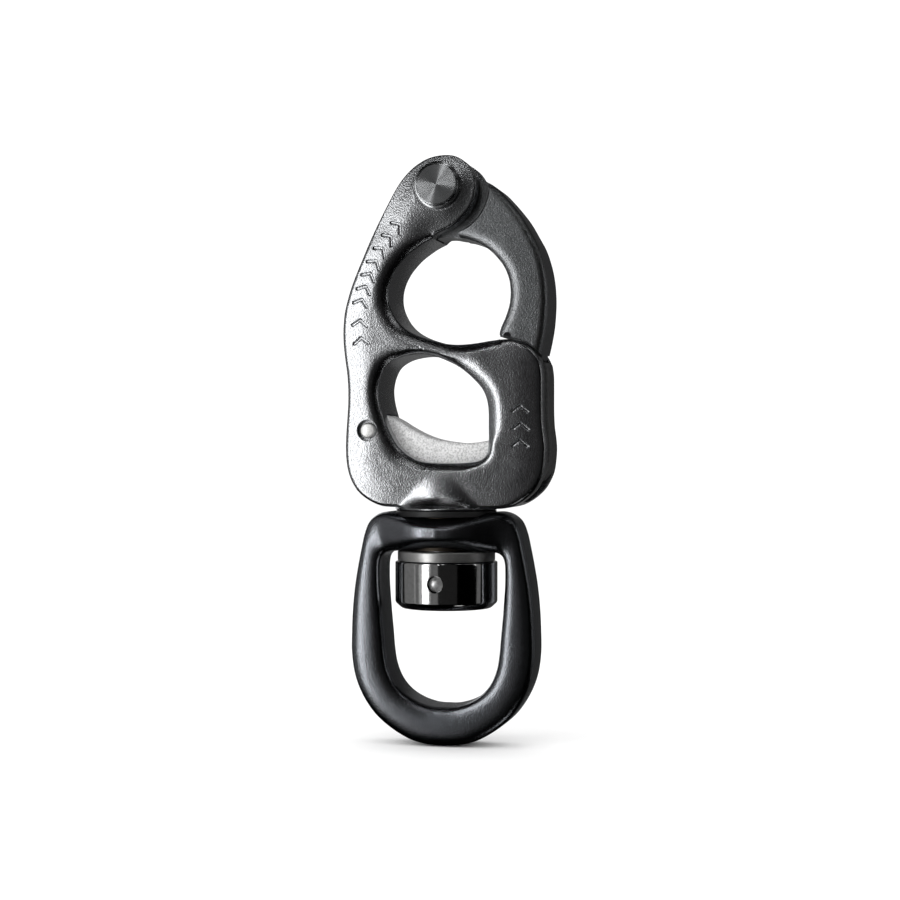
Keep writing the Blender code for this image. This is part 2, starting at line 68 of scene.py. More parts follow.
# Jaw pivot
PIVOT = (0.0, 8.8)
ROOT_RADIUS = 5.0
ROOT_SLOT_RADIUS = 5.3
ROOT_SLOT_LEFT = -1.2
RELIEF_RADIUS = 8.4
PIVOT_HOLE_RADIUS = 2.2
SPOT_FACE_RADIUS = 4.3
SPOT_FACE_FLOOR = BODY_HALF - 0.3
ARM_OPEN_END_DEG = 150

# Trigger lever and its pin, whose peened ends sit in a recess in each cheek
TRIGGER_PIN = (-12.3, -32.1)
TRIGGER_SWING_DEG = 6.0
TRIGGER_ROOT_RADIUS = 2.6
TRIGGER_SLOT_RADIUS = 2.95
TRIGGER_HOLE_RADIUS = 1.35
PEEN_RADIUS = 1.8
PEEN_FLOOR = BODY_HALF - 1.3
PEEN_FACE = BODY_HALF - 0.1

# Torsion spring on the trigger pin
SPRING_RADIUS = 1.8
SPRING_WIRE_RADIUS = 0.24
SPRING_TURNS = 2.25
SPRING_LOW_Y = 1.1
SPRING_HIGH_Y = 2.4
SPRING_STEP_Y = 0.75
SPRING_POCKET_RADIUS = 2.9
SPRING_GROOVE_HALF = 0.35

# Swivel. The bail's section goes from flat-sided to round between the two hub depths.
SHANK_RADIUS = 4.5
LOCK_PIN_Z = -57.7
LOCK_HOLE_RADIUS = 1.32
HUB_TOP_Z = -46.7
HUB_FOOT_Z = -52.4
HUB_BORE_RADIUS = 6.2
HUB_DEPTH = (4.5, 8.6)

# Outlines of the body, its window and the jaw's eye
BODY_BASE = [
    (1.1, 13.9), (-0.6, 13.75), (-2.15, 13.3), (-3.7, 12.45), (-4.8, 11.6), (-5.8, 10.6), (-6.7, 9.5),
    (-7.6, 8.1), (-8.55, 6.45), (-9.7, 4.4), (-10.85, 2.2), (-12.2, -0.6), (-13.25, -3.0), (-14.25, -5.3),
    (-15.2, -7.7), (-15.95, -10.1), (-16.45, -12.2), (-16.65, -14.2), (-16.695, -16.0), (-16.6, -18.0),
    (-16.3, -20.5), (-16.0, -22.7), (-15.85, -25.0), (-15.85, -27.5), (-16.0, -30.0), (-16.2, -33.0),
    (-16.25, -35.3), (-16.1, -37.6), (-15.7, -39.5), (-15.0, -41.1), (-14.2, -42.3), (-13.1, -43.3),
    (-11.8, -44.1), (-10.4, -44.7), (-9.0, -44.95), (-4.5, -45.1), (0.0, -45.15), (4.5, -45.15),
    (9.0, -45.2), (10.8, -45.15), (12.3, -44.85), (13.7, -44.2), (15.1, -43.2), (16.3, -42.0),
    (17.2, -40.5), (17.8, -39.0), (18.1, -37.0), (18.2, -35.0), (18.05, -33.2), (17.8, -31.2),
    (17.7, -28.5), (17.7, -25.0), (17.65, -22.6), (17.35, -21.0), (16.75, -19.7), (15.8, -18.6),
    (14.7, -17.8), (13.5, -17.3), (12.3, -17.05), (11.2, -17.0), (10.2, -17.0), (9.0, -16.4), (3.0, -15.6),
    (-2.5, -13.5), (-5.0, -9.0), (-2.6, -3.2), (-1.3, -0.2), (-0.4, 0.75), (1.3, 1.5), (2.8, 2.3),
    (4.4, 3.75), (5.4, 5.1), (6.1, 6.9), (6.35, 8.8), (6.05, 10.4), (5.2, 11.9), (4.05, 13.0), (2.65, 13.7),
]
WINDOW = [
    (-3.0, -19.3), (-5.3, -19.45), (-7.4, -20.0), (-9.1, -21.1), (-10.0, -22.6), (-10.5, -24.6),
    (-10.45, -26.5), (-10.0, -28.6), (-9.2, -31.0), (-8.2, -33.1), (-7.0, -34.9), (-5.5, -36.2),
    (-3.8, -37.1), (-1.8, -37.5), (1.5, -37.6), (4.8, -37.5), (6.9, -37.1), (8.0, -36.2), (8.35, -34.8),
    (8.4, -31.5), (8.35, -28.5), (7.9, -26.4), (7.0, -24.8), (5.2, -22.95), (3.4, -21.55), (1.6, -20.6),
    (-0.6, -19.75),
]
EYE = [
    (2.6, 0.25), (1.2, 0.5), (-0.3, 0.4), (-1.5, -0.1), (-2.8, -0.75), (-4.1, -1.6), (-5.3, -2.5),
    (-6.4, -3.6), (-7.4, -4.85), (-8.2, -6.3), (-8.7, -7.8), (-8.85, -9.4), (-8.65, -10.9),
    (-8.05, -12.4), (-7.2, -13.75), (-6.05, -14.9), (-4.7, -15.75), (-3.2, -16.4), (-1.6, -16.9),
    (-0.2, -17.3), (1.3, -17.65), (3.0, -17.8), (4.7, -17.75), (6.6, -17.55), (8.5, -17.25),
    (10.35, -16.95), (10.05, -16.2), (10.3, -15.0), (11.0, -13.45), (11.45, -12.2), (11.75, -11.1),
    (11.9, -9.8), (11.9, -8.6), (11.65, -6.9), (10.95, -5.1), (9.95, -3.65), (8.4, -2.05), (6.55, -0.9),
    (4.5, -0.1),
]

# Outlines of the arm: its back, its toe between the cheeks, and what the cheeks and the ears cut away
ARM_BASE = [
    (1.3, 13.4), (4.0, 11.65), (6.6, 10.2), (8.3, 9.2), (9.75, 8.2), (11.2, 6.7), (12.7, 4.95),
    (14.15, 3.0), (15.5, 0.65), (16.65, -1.5), (17.5, -4.0), (18.0, -6.3), (18.25, -8.6), (18.3, -11.2),
    (18.05, -14.6), (17.5, -17.7), (16.85, -20.35),
]
ARM_TOE = [
    (16.1, -21.2), (16.1, -22.6), (15.6, -23.2), (12.5, -23.2), (11.8, -22.5), (11.8, -16.6), (8.5, -16.45),
    (8.2, -12.0), (8.2, -9.0), (7.0, -5.5), (4.0, -3.2), (1.5, -2.4), (-0.9, -2.4), (-0.9, 4.0),
]
CHEEK_TOP = [
    (5.0, -16.3), (9.0, -16.5), (10.75, -16.55), (12.3, -16.7), (13.6, -16.92), (14.9, -17.42),
    (16.08, -18.3), (17.1, -19.5), (17.75, -20.95), (18.05, -22.6), (18.05, -26.0), (5.0, -26.0),
]
THROAT = [(-2.0, -4.0), (3.3, -4.0), (3.3, 3.0), (-2.0, 3.0)]
BEAK_NOTCH = (11.5, -16.5)
BEAK_NOTCH_RADIUS = 0.7

# Outline of the lever
LEVER_TOP = [
    (-10.6, -29.4), (-9.2, -29.7), (-7.6, -30.5), (-6.0, -31.5), (-4.2, -32.45), (-2.4, -33.2),
    (-0.6, -33.7), (1.2, -34.0), (3.0, -34.2), (4.8, -34.2), (6.6, -34.0), (8.5, -33.6), (10.3, -32.7),
    (11.7, -31.4), (12.4, -29.4), (12.6, -27.0), (12.6, -23.6),
]
LEVER_OUTER = [
    (16.55, -23.6), (16.6, -20.9), (17.5, -20.75), (17.95, -21.3), (18.1, -23.0), (18.15, -26.0),
    (18.15, -29.5), (18.3, -32.0), (18.54, -33.8), (18.59, -35.4), (18.4, -37.2), (17.9, -38.9),
    (16.9, -40.3), (15.5, -41.0),
]
LEVER_FOOT = [
    (13.5, -41.0), (10.0, -40.3), (6.0, -39.4), (0.0, -38.3), (-5.0, -37.1), (-9.0, -35.8), (-11.5, -34.75),
]

# The boss's flare into the body, and its turned foot with the swivel shank
BOSS_PROFILE = [
    (4.0, -38.6), (5.2, -40.2), (6.2, -42.0), (6.9, -43.4), (7.8, -44.5), (8.6, -45.2), (8.7, -45.6),
]
SHANK_PROFILE = [
    (0, -44.0), (8.2, -44.75), (8.52, -45.0), (8.66, -45.15), (8.7, -45.28), (8.66, -45.42), (8.55, -45.5),
    (SHANK_RADIUS, -45.5), (SHANK_RADIUS, -61.2), (SHANK_RADIUS - 0.5, -61.7), (0, -61.7),
]

# Pins, from the front face to the back one
PIVOT_PIN_PROFILE = [
    (0, 7.74), (0.3, 7.75), (3.24, 7.75), (3.3, 7.71), (3.36, 7.75), (3.44, 7.72), (3.5, 7.6), (3.5, 7.06),
    (3.56, 6.97), (3.8, 6.93), (3.92, 6.86), (3.95, 6.75), (3.95, 6.25), (2.1, 6.25), (2.1, -6.25),
    (3.0, -6.25), (3.0, -6.6), (2.85, -6.88), (2.5, -7.1), (1.9, -7.28), (1.0, -7.43), (0, -7.5),
]
TRIGGER_PIN_PROFILE = [
    (0, 6.45), (0.4, 6.42), (0.8, 6.32), (1.02, 6.22), (1.15, 6.05), (1.25, 5.7),
    (1.25, -5.7), (1.15, -6.05), (1.02, -6.22), (0.8, -6.32), (0.4, -6.42), (0, -6.45),
]
LOCK_PIN_PROFILE = [
    (0, 8.62), (0.35, 8.6), (0.6, 8.52), (0.75, 8.4), (0.85, 8.2), (1.2, 7.9),
    (1.2, -7.9), (0.85, -8.2), (0.75, -8.4), (0.6, -8.52), (0.35, -8.6), (0, -8.62),
]

# The nut, the ring under the cross bar with its ball groove, and the thrust washer
NUT_PROFILE = [
    (8.0, -54.3), (8.5, -54.3), (8.63, -54.34), (8.69, -54.45), (8.7, -54.6), (8.7, -60.9), (8.66, -61.12),
    (8.5, -61.35), (7.8, -62.02), (7.55, -62.16), (7.3, -62.2), (5.0, -62.2), (4.72, -62.1), (4.65, -61.85),
    (4.65, -55.95), (8.0, -55.95),
]
RACE_OUTSIDE = [
    (4.8, -52.5), (8.1, -52.5), (8.24, -52.54), (8.3, -52.65), (8.3, -53.95), (8.26, -54.1), (8.15, -54.15),
    (7.85, -54.15), (7.85, -53.8),
]
RACE_INSIDE = (4.8, -53.8)
BALL_CENTRE = (6.4, -54.4)
GROOVE_RADIUS = 1.05
WASHER_PROFILE = [
    (4.8, -45.6), (8.4, -45.6), (8.51, -45.64), (8.55, -45.75), (8.55, -46.45), (8.51, -46.56),
    (8.4, -46.6), (4.8, -46.6),
]

# Bail: (outer X, outer Z, inner X, inner Z, half depth) round the right-hand half
BAIL_STATIONS = [
    (0.0, -46.15, 0.0, -52.5, 8.35), (3.0, -46.1, 3.0, -52.5, 8.0), (5.6, -46.0, 5.4, -52.5, 7.15),
    (7.8, -45.9, 7.4, -52.5, 6.15), (9.7, -45.85, 8.9, -52.6, 5.35), (11.3, -46.3, 9.8, -52.85, 4.85),
    (12.7, -47.45, 10.45, -53.5, 4.6), (13.55, -49.4, 10.75, -54.6, 4.5), (14.15, -52.0, 10.8, -56.2, 4.5),
    (14.75, -55.0, 10.75, -58.3, 4.5), (15.3, -58.3, 10.55, -60.9, 4.5), (15.7, -62.0, 10.3, -63.7, 4.5),
    (15.9, -66.0, 10.0, -66.8, 4.5), (15.9, -70.0, 9.75, -69.6, 4.5), (15.3, -73.8, 9.3, -72.2, 4.5),
    (13.9, -77.2, 8.3, -74.6, 4.5), (11.7, -80.3, 6.7, -76.5, 4.5), (8.8, -82.7, 4.6, -77.8, 4.5),
    (5.6, -84.45, 2.5, -78.5, 4.5), (2.6, -85.2, 1.1, -78.7, 4.5), (0.0, -85.35, 0.0, -78.7, 4.5),
]

# Stamped chevrons: (X, Z, degrees that the row runs at)
MARKS = [
    (-6.95, 2.1, 38), (-8.5, 0.1, 40), (-9.85, -1.9, 47), (-11.0, -4.0, 55), (-11.95, -6.1, 60),
    (-12.75, -8.3, 66), (-13.35, -10.5, 72), (-13.55, -14.0, 84), (-13.3, -17.0, 92),
    (13.9, -28.6, 90), (14.0, -31.5, 90), (13.9, -34.3, 90),
]
MARK_ARM = 1.55
MARK_HALF_WIDTH = 0.3
MARK_DEPTH = 0.26
MARK_SPREAD_DEG = 52
MARK_TIP = 0.5
MARK_CLOUD_REACH = 2.0
MARK_CLOUD_PITCH = 0.1
MARK_CLOUD_MARGIN = 0.3

# A pressed face's points: rows at these distances from its edges, then a grid over the rest
RINGS = (0.03, 0.1, 0.2, 0.34, 0.52, 0.75, 1.05, 1.4, 1.8, 2.3)
FIRST_COARSE_RING = 1.0
GRID_PITCH = 0.4
SIDE_PITCH = 0.3

# Camera
CAMERA_AZIMUTH_DEG = 13
CAMERA_DISTANCE = 300
CAMERA_LENS = 70.44
SENSOR_WIDTH = 36
TARGET_RIGHT = 0.6
TARGET_Z = -35.4

# Lights: (name, azimuth, height, distance, panel width, panel height, radiance, height aimed at).
# Azimuth runs from straight in front towards +X.
LIGHTS = [
    ("key_core", -34, -36, 120, 30, 140, 3.6, -40),
    ("key_halo", -36, -45, 125, 60, 160, 0.35, -45),
    ("key_wide", -34, -50, 130, 140, 200, 0.18, -50),
    ("rim_strip", 82, 55, 400, 26, 200, 1.8, TARGET_Z),
    ("left_fill", -78, 0, 400, 260, 500, 0.22, TARGET_Z),
    ("front_fill", 10, -40, 600, 600, 700, 0.02, TARGET_Z),
    ("right_fill", 98, -20, 500, 240, 400, 0.18, TARGET_Z),
    ("right_top", 85, 400, 400, 400, 300, 0.13, TARGET_Z),
    ("back_strip", 131, -35, 400, 30, 400, 0.6, TARGET_Z),
    ("back_fill", 160, -35, 500, 400, 700, 0.05, TARGET_Z),
    ("back_key", 218, -20, 300, 110, 260, 1.5, TARGET_Z),
    ("back_halo", 205, -30, 320, 300, 400, 0.16, TARGET_Z),
    ("top_back", 190, 500, 260, 400, 300, 0.3, TARGET_Z),
    ("pin_spot", -7, 142, 300, 20, 20, 16.0, 9),
    ("top_strip", 3, 300, 300, 34, 220, 1.6, TARGET_Z),
    ("right_spot", 50, 110, 130, 30, 30, 1.6, TARGET_Z),
    ("low_spot", 55, -190, 80, 34, 34, 1.4, TARGET_Z),
]
WORLD_STRENGTH = 1.15
FLOOR_RADIUS = 3000
FLOOR_GAP = 0.05


# ---- Outlines ----------------------------------------------------------------------------------------


def spline(points, steps, closed=True):
    """A Catmull-Rom curve through points of any dimension."""
    p = np.asarray(points, float)
    if closed:
        before, here, after, later = np.roll(p, 1, 0), p, np.roll(p, -1, 0), np.roll(p, -2, 0)
    else:
        padded = np.vstack([2 * p[0] - p[1], p, 2 * p[-1] - p[-2]])
        before, here, after, later = padded[:-3], padded[1:-2], padded[2:-1], padded[3:]
    curve = []
    for t in np.arange(steps) / steps:
        curve.append(
            0.5 * (2 * here + (after - before) * t + (2 * before - 5 * here + 4 * after - later) * t**2
                   + (3 * here - before - 3 * after + later) * t**3)
        )
    curve = np.stack(curve, 1).reshape(-1, p.shape[1])
    return curve if closed else np.vstack([curve, p[-1:]])


def spaced(loop, pitch):
    """The closed loop with its points this far apart."""
    loop = np.asarray(loop, float)
    sides = np.linalg.norm(np.roll(loop, -1, 0) - loop, axis=1)
    along = np.concatenate([[0], np.cumsum(sides)])
    count = max(8, int(round(along[-1] / pitch)))
    at = np.arange(count) * along[-1] / count
    closed = np.vstack([loop, loop[:1]])
    return np.stack([np.interp(at, along, closed[:, k]) for k in (0, 1)], 1)


def dense(loop, pitch):
    """The closed loop with points added on its long sides and its corners kept."""
    loop = np.asarray(loop, float)
    out = []
    for a, b in zip(loop, np.roll(loop, -1, 0)):
        count = max(1, int(np.ceil(np.linalg.norm(b - a) / pitch)))
        out += [a + (b - a) * k / count for k in range(count)]
    return np.array(out)


def arc(centre, radius, start, end, steps):
    """Points along an arc between two angles in degrees."""
    a = np.radians(np.linspace(start, end, steps + 1))
    return [(centre[0] + radius * math.cos(t), centre[1] + radius * math.sin(t)) for t in a]


def turn(point, centre, degrees):
    """The point turned clockwise, as seen from the front, about the centre."""
    c, s = math.cos(math.radians(degrees)), math.sin(math.radians(degrees))
    dx, dz = point[0] - centre[0], point[1] - centre[1]
    return centre[0] + dx * c + dz * s, centre[1] - dx * s + dz * c


def inside(points, loop):
    """Which points lie inside the closed loop."""
    x, z = points[:, 0][:, None], points[:, 1][:, None]
    ax, az = loop[:, 0][None], loop[:, 1][None]
    bx, bz = np.roll(loop[:, 0], -1)[None], np.roll(loop[:, 1], -1)[None]
    crosses = (az > z) != (bz > z)
    run = np.where(bz == az, 1.0, bz - az)
    return (crosses & (x < (bx - ax) * (z - az) / run + ax)).sum(1) % 2 == 1


def distance(points, starts, ends):
    """Each point's distance to the nearest of the segments."""
    best = np.full(len(points), 1e9)
    side = ends - starts
    length = np.maximum((side**2).sum(1), 1e-12)
    for first in range(0, len(points), 4000):
        p = points[first:first + 4000]
        rel = p[:, None, :] - starts[None]
        t = np.clip((rel * side[None]).sum(2) / length[None], 0, 1)
        gap = rel - t[..., None] * side[None]
        best[first:first + 4000] = np.sqrt((gap**2).sum(2).min(1))
    return best


def segments(loop, keep=None):
    """The closed loop's sides as (starts, ends), less those whose middle keep() refuses."""
    starts, ends = loop, np.roll(loop, -1, 0)
    if keep is None:
        return starts, ends
    real = keep((starts + ends) / 2)
    return starts[real], ends[real]


# ---- Meshes ------------------------------------------------------------------------------------------


def mesh_object(name, verts, faces):
    """An object from vertices in metres."""
    mesh = bpy.data.meshes.new(name)
    mesh.from_pydata([tuple(v) for v in verts], [], [tuple(f) for f in faces])
    mesh.validate()
    obj = bpy.data.objects.new(name, mesh)
    bpy.context.scene.collection.objects.link(obj)
    return obj


def outward(obj):
    """Turns all faces outwards."""
    bm = bmesh.new()
    bm.from_mesh(obj.data)
    bmesh.ops.recalc_face_normals(bm, faces=bm.faces)
    bm.to_mesh(obj.data)
    bm.free()
    return obj


def crease(obj, degrees=32):
    """Smooth shading, with a hard line where two faces meet at more than this angle."""
    limit = math.radians(degrees)
    bm = bmesh.new()
    bm.from_mesh(obj.data)
    for face in bm.faces:
        face.smooth = True
    for side in bm.edges:
        side.smooth = side.calc_face_angle(0) < limit
    bm.to_mesh(obj.data)
    bm.free()
    return obj


def baked(obj):
    """Applies the modifiers."""
    bpy.context.view_layer.update()
    graph = bpy.context.evaluated_depsgraph_get()
    mesh = bpy.data.meshes.new_from_object(obj.evaluated_get(graph))
    obj.modifiers.clear()
    obj.data = mesh
    return obj


def combine(obj, others, operation="DIFFERENCE"):
    """Cuts or joins the others, which are then deleted."""
    for other in others:
        boolean = obj.modifiers.new("Combine", "BOOLEAN")
        boolean.operation = operation
        boolean.object = other
        boolean.solver = "MANIFOLD"
    baked(obj)
    for other in others:
        bpy.data.objects.remove(other)
    return obj


def ring_clouds(loops, keep, real):
    """Points in close rows beside the loops, where the edges are rounded."""
    clouds = []
    for loop in loops:
        along = np.roll(loop, -1, 0) - np.roll(loop, 1, 0)
        out = np.stack([along[:, 1], -along[:, 0]], 1)
        out /= np.maximum(np.linalg.norm(out, axis=1, keepdims=True), 1e-9)
        for i, ring in enumerate(RINGS):
            picked = slice(i % 2, None, 1 if ring < FIRST_COARSE_RING else 2)
            for way in (-1, 1):
                shifted = loop[picked] + way * ring * out[picked]
                near = distance(shifted, *real)
                clouds.append(shifted[(near > 0.94 * ring) & keep(shifted)])
    return clouds


def grid_cloud(outline, keep, real):
    """A grid of points over the face inside the rows."""
    low, high = np.min(outline, 0), np.max(outline, 0)
    xs = np.arange(low[0], high[0], GRID_PITCH)
    zs = np.arange(low[1], high[1], GRID_PITCH * 0.866)
    gx, gz = np.meshgrid(xs, zs)
    gx[1::2] += GRID_PITCH / 2
    grid = np.stack([gx.ravel(), gz.ravel()], 1)
    grid = grid[keep(grid)]
    return grid[distance(grid, *real) > RINGS[-1] + 0.1]


def triangulated(loops, clouds, keep):
    """The region that keep() accepts as (points, triangles)."""
    points, sides = [], []
    for loop in loops:
        base = len(points)
        points += [tuple(p) for p in loop]
        sides += [(base + i, base + (i + 1) % len(loop)) for i in range(len(loop))]
    points += [tuple(p) for cloud in clouds for p in cloud]
    flat, _, faces, _, _, _ = delaunay_2d_cdt([Vector(p) for p in points], sides, [], 0, 1e-5, False)
    flat = np.array([tuple(p) for p in flat])
    faces = np.array([f for f in faces if len(f) == 3])
    middle = flat[faces].mean(1)
    a, b, c = flat[faces[:, 0]], flat[faces[:, 1]], flat[faces[:, 2]]
    size = np.abs((b[:, 0] - a[:, 0]) * (c[:, 1] - a[:, 1]) - (b[:, 1] - a[:, 1]) * (c[:, 0] - a[:, 0]))
    faces = faces[keep(middle) & (size > 1e-9)]
    used, index = np.unique(faces, return_inverse=True)
    return flat[used], index.reshape(-1, 3)


def pressed(name, loops, keep, real, height, fine=None):
    """A plate whose front and back swell and fall as height() says, over the region that keep() accepts.

    loops bound the region, real is the (starts, ends) of the sides that do so, and fine is a cloud of extra
    points.
    """
    loops = [dense(loop, SIDE_PITCH) for loop in loops]
    clouds = [*ring_clouds(loops, keep, real), grid_cloud(loops[0], keep, real)]
    if fine is not None:
        clouds.append(fine[keep(fine)])
    flat, faces = triangulated(loops, clouds, keep)
    front, back = height(flat)
    n = len(flat)
    verts = np.vstack([
        np.stack([flat[:, 0], -front, flat[:, 1]], 1),
        np.stack([flat[:, 0], back, flat[:, 1]], 1),
    ]) * MM
    ends = np.concatenate([faces[:, [0, 1]], faces[:, [1, 2]], faces[:, [2, 0]]])
    _, first, count = np.unique(np.sort(ends, 1), axis=0, return_index=True, return_counts=True)
    walls = [(b, a, a + n, b + n) for a, b in ends[first[count == 1]]]
    faces = [tuple(f) for f in faces] + [tuple(f[::-1] + n) for f in faces] + walls
    return outward(mesh_object(name, verts, faces))


def prism(outline, low, high):
    """A flat cutter between two depths."""
    n = len(outline)
    verts = [(x * MM, y * MM, z * MM) for y in (low, high) for x, z in outline]
    faces = [tuple(range(n)), tuple(range(n, 2 * n))]
    faces += [(i, (i + 1) % n, n + (i + 1) % n, n + i) for i in range(n)]
    return outward(mesh_object("cut", verts, faces))


def lathe(name, profile, steps=128, centre=(0.0, 0.0, 0.0), along_y=False, ring=False):
    """A turned piece from (radius, height) pairs. A ring's profile is closed and clears the axis.

    Heights run up +Z or, for along_y, towards the front.
    """
    verts, faces, rows = [], [], []
    for radius, height in profile:
        if radius < 1e-6 and not ring:
            rows.append([len(verts)])
            verts.append((0.0, 0.0, height))
            continue
        rows.append(list(range(len(verts), len(verts) + steps)))
        for k in range(steps):
            a = 2 * math.pi * k / steps
            verts.append((radius * math.cos(a), radius * math.sin(a), height))
    pairs = list(zip(rows, rows[1:])) + ([(rows[-1], rows[0])] if ring else [])
    for upper, lower in pairs:
        for k in range(steps):
            j = (k + 1) % steps
            face = (
                upper[k % len(upper)], lower[k % len(lower)], lower[j % len(lower)], upper[j % len(upper)],
            )
            faces.append(tuple(dict.fromkeys(face)))
    if along_y:
        verts = [(x, -z, y) for x, y, z in verts]
    verts = [tuple((v[k] + centre[k]) * MM for k in range(3)) for v in verts]
    return outward(mesh_object(name, verts, [f for f in faces if len(f) > 2]))


def rod(centre, radius, low, high, along_y=True, chamfer=0.0, steps=64):
    """A round cutter, along Y at (X, Z) or along Z at (X, Y), that widens by the chamfer at its ends."""
    if along_y:
        low, high = -high, -low
    profile = [(0, high), (radius, high), (radius, low), (0, low)]
    if chamfer:
        profile = [
            (0, high), (radius + chamfer, high), (radius, high - chamfer),
            (radius, low + chamfer), (radius + chamfer, low), (0, low),
        ]
    where = (centre[0], 0, centre[1]) if along_y else (centre[0], centre[1], 0)
    return lathe("cut", profile, steps, where, along_y)


def counterbore(centre, radius, floor, face, chamfer, front):
    """A cutter for a round recess in the front or the back."""
    way = 1 if front else -1
    profile = [
        (0, face + 2), (radius + chamfer, face + 2), (radius + chamfer, face), (radius, face - chamfer),
        (radius, floor), (0, floor),
    ]
    return lathe("cut", [(r, way * h) for r, h in profile], 96, (centre[0], 0, centre[1]), True)


# ---- Height of a forged face -------------------------------------------------------------------------


def rounding(gap, width, depth):
    """How far a quarter-round edge has dropped at this distance from it."""
    t = np.clip(1 - gap / width, 0, 1)
    return depth * (1 - np.sqrt(1 - t**2))


def roll_off(gap, width, depth, lip=0.22):
    """A long convex slope towards an opening, with a small round lip at the wall."""
    t = np.clip(1 - gap / width, 0, 1)
    return depth * t**2.1 + rounding(gap, lip, lip)


def soft_max(a, b, width):
    """The larger of two heights, with a fillet where they meet."""
    return np.maximum(a, b) + width / 4 * np.clip(1 - np.abs(a - b) / width, 0, 1) ** 2


def step(x, low, high):
    """Rises smoothly from 0 to 1 between low and high."""
    t = np.clip((x - low) / (high - low), 0, 1)
    return t * t * (3 - 2 * t)


def mark_segments():
    """The middle lines of the stamped marks: a row of plain chevrons."""
    starts, ends = [], []
    for x, z, along in MARKS:
        a = math.radians(along)
        tip = np.array([x + MARK_TIP * math.cos(a), z + MARK_TIP * math.sin(a)])
        for spread in (180 - MARK_SPREAD_DEG, 180 + MARK_SPREAD_DEG):
            b = math.radians(along + spread)
            starts.append(tip)
            ends.append(tip + MARK_ARM * np.array([math.cos(b), math.sin(b)]))
    return np.array(starts), np.array(ends)


def mark_drop(points):
    """Depth of the stamped grooves."""
    gap = distance(points, *mark_segments())
    return MARK_DEPTH * np.clip(1 - (gap / MARK_HALF_WIDTH) ** 4, 0, 1)


def mark_cloud():
    """Close-set points over the marks."""
    offsets = np.arange(-MARK_CLOUD_REACH, MARK_CLOUD_REACH, MARK_CLOUD_PITCH)
    clouds = []
    for x, z, _ in MARKS:
        gx, gz = np.meshgrid(x + offsets, z + offsets)
        clouds.append(np.stack([gx.ravel(), gz.ravel()], 1))
    cloud = np.vstack(clouds)
    near = distance(cloud, *mark_segments())
    return cloud[near < MARK_HALF_WIDTH + MARK_CLOUD_MARGIN]


def body_face(points, outer, at_eye, at_window):
    """Half depth of the body at these distances from its edges, with its crown and its boss."""
    x, z = points[:, 0], points[:, 1]
    ear = step(z, 3.0, 8.0)
    edge_width = 1.35 + 0.35 * step(x, 4, 15) - 0.3 * ear
    eye_width = 2.6 - 0.6 * step(x, 0, 8)
    window_width = 1.4 + 0.8 * step(-x, 2, 9) + 0.9 * step(-z, 33, 36.5) * step(7 - x, 0, 3)
    window_width += 1.9 * step(x, 0, 6) * step(z, -35, -31)
    drop = rounding(outer, edge_width, 1.25 - 0.35 * ear)
    drop = np.maximum(drop, roll_off(at_eye, eye_width, 1.2))
    drop = np.maximum(drop, roll_off(at_window, window_width, 1.15))
    crown = (0.33 + 0.27 * step(z, -3, 3)) * (1 - step(outer, 0.0, 5.0))
    face = BODY_HALF - soft_max(drop, crown, 0.3)
    radii, heights = zip(*BOSS_PROFILE[::-1])
    boss = np.sqrt(np.clip(np.interp(z, heights, radii, right=0) ** 2 - x**2, 0, None))
    return soft_max(face, boss, 2.2)


# ---- Pieces ------------------------------------------------------------------------------------------


def root_slot():
    """Room for the arm's root between the ears, through its whole swing."""
    start = 360 - math.degrees(math.acos(ROOT_SLOT_LEFT / ROOT_SLOT_RADIUS))
    back = arc(PIVOT, ROOT_SLOT_RADIUS, start, ARM_OPEN_END_DEG, 40)
    far = (PIVOT[0] - 12 * math.cos(math.radians(30)), PIVOT[1] + 12 * math.sin(math.radians(30)))
    return [(ROOT_SLOT_LEFT, -3.0), *back, far, (far[0], 20.0), (12.0, 20.0), (12.0, -3.0)]


def trigger_slot():
    """Room for the arm's toe, and for the lever through its swing."""
    floor = [turn(p, TRIGGER_PIN, TRIGGER_SWING_DEG + 0.5) for p in [(15.5, -41.0), *LEVER_FOOT[:-1]]]
    floor = [(x, z - 0.2) for x, z in floor]
    root = arc(TRIGGER_PIN, TRIGGER_SLOT_RADIUS, 270, 110, 32)
    return [
        (11.3, -14.0), (24.0, -14.0), (24.0, floor[0][1]), *floor, *root,
        (-11.0, -29.1), (-9.2, -29.45), (-8.0, -28.5), (6.0, -31.0), (9.2, -31.4), (11.3, -30.3),
    ]


def spring_notch():
    """Room in the limb for the spring's fixed leg, which moves with the lever."""
    x = TRIGGER_PIN[0] - SPRING_RADIUS
    return [(x - 0.4, -32.1), (x - 0.4, -27.4), (x + 0.95, -27.4), (x + 0.6, -32.1)]


def body_cutters():
    """The body's slots, pin holes, recesses and spring notch."""
    cutters = [
        prism(root_slot(), -SLOT_HALF, SLOT_HALF),
        prism(trigger_slot(), -SLOT_HALF, SLOT_HALF),
        rod(PIVOT, PIVOT_HOLE_RADIUS, -8, 8),
        rod(TRIGGER_PIN, TRIGGER_HOLE_RADIUS, -8, 8),
        rod((0, LOCK_PIN_Z), LOCK_HOLE_RADIUS, -9, 9),
    ]
    for front in (True, False):
        cutters.append(counterbore(PIVOT, SPOT_FACE_RADIUS, SPOT_FACE_FLOOR, BODY_HALF, 0.08, front))
        cutters.append(counterbore(TRIGGER_PIN, PEEN_RADIUS, PEEN_FLOOR, PEEN_FACE, 0.06, front))
    cutters.append(prism(spring_notch(), SPRING_STEP_Y, SLOT_HALF))
    return cutters


